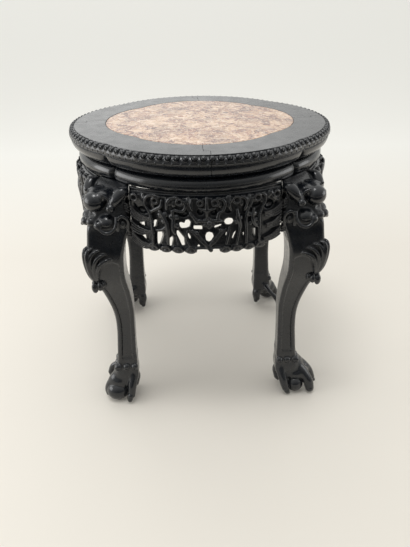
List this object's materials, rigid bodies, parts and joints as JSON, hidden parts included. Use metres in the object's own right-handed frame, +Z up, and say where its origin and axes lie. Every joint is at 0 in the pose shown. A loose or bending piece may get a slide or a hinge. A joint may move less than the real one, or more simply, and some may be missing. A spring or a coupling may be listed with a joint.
{
  "type": "carved hardwood stand with inset marble top",
  "caption": "Low four-lobed stand with an inset marble panel, beaded moulded frame, openwork aprons and carved cabriole legs.",
  "frame": {"origin": "on the floor under the middle of the top", "axes": "+Z up; the front lobe of the top faces -Y, the right lobe +X"},
  "size_m": [0.422, 0.422, 0.452],
  "materials": {
    "marble": "polished brecciated marble, cream with rose veins",
    "black_hardwood": "black stain under a semi-gloss wax or lacquer",
    "inner_wood": "dark stained, unpolished"
  },
  "bodies": {
    "root": {"marble_panel": "marble", "top_frame_back_right": "black_hardwood", "frame_spline_right": "inner_wood", "waist_rail_right": "black_hardwood", "apron_right": "black_hardwood", "leg_back_right": "black_hardwood", "top_frame_back_left": "black_hardwood", "frame_spline_back": "inner_wood", "waist_rail_back": "black_hardwood", "apron_back": "black_hardwood", "leg_back_left": "black_hardwood", "top_frame_front_left": "black_hardwood", "frame_spline_left": "inner_wood", "waist_rail_left": "black_hardwood", "apron_left": "black_hardwood", "leg_front_left": "black_hardwood", "top_frame_front_right": "black_hardwood", "frame_spline_front": "inner_wood", "waist_rail_front": "black_hardwood", "apron_front": "black_hardwood", "leg_front_right": "black_hardwood", "panel_batten_lower": "inner_wood", "panel_batten_upper": "inner_wood", "apron_peg_right_a": "inner_wood", "apron_peg_back_a": "inner_wood", "apron_peg_left_a": "inner_wood", "apron_peg_front_a": "inner_wood", "apron_peg_right_b": "inner_wood", "apron_peg_back_b": "inner_wood", "apron_peg_left_b": "inner_wood", "apron_peg_front_b": "inner_wood"}
  },
  "joints": []
}
